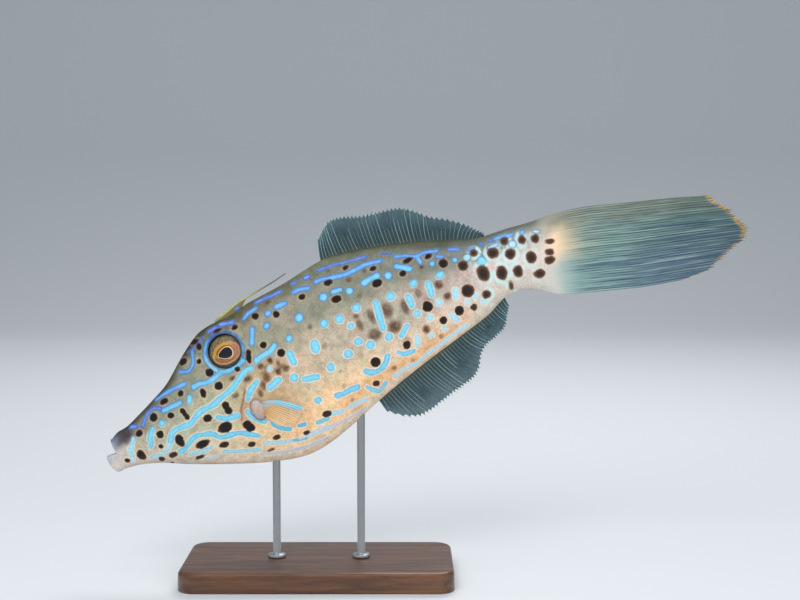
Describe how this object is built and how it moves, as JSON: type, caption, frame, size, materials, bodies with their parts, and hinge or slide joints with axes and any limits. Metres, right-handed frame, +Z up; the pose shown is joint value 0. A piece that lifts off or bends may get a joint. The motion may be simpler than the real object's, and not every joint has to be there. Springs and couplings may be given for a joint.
{
  "type": "scrawled filefish model on a display stand",
  "caption": "Life-size scrawled filefish, nose down and swimming, held by two rods on a flat base.",
  "frame": {"origin": "centre of the stand base's underside", "axes": "+Z up, the fish's head points to -X and its left side faces -Y"},
  "size_m": [0.5718, 0.12, 0.3424],
  "materials": {
    "skin_head": "satin",
    "skin_body": "satin",
    "fin": "satin",
    "pectoral": "satin",
    "eye": "gloss",
    "base": "satin",
    "rod": "brushed"
  },
  "bodies": {
    "root": {"head": "skin_head", "trunk": "skin_body", "tail_peduncle": "skin_body", "first_dorsal_spine": "skin_head", "dorsal_fin": "fin", "anal_fin": "fin", "caudal_fin": "fin", "pectoral_fin_left": "pectoral", "pectoral_fin_right": "pectoral", "eye_left": "eye", "eye_right": "eye", "stand_base": "base", "stand_rod_front": "rod", "stand_rod_rear": "rod"}
  },
  "joints": []
}
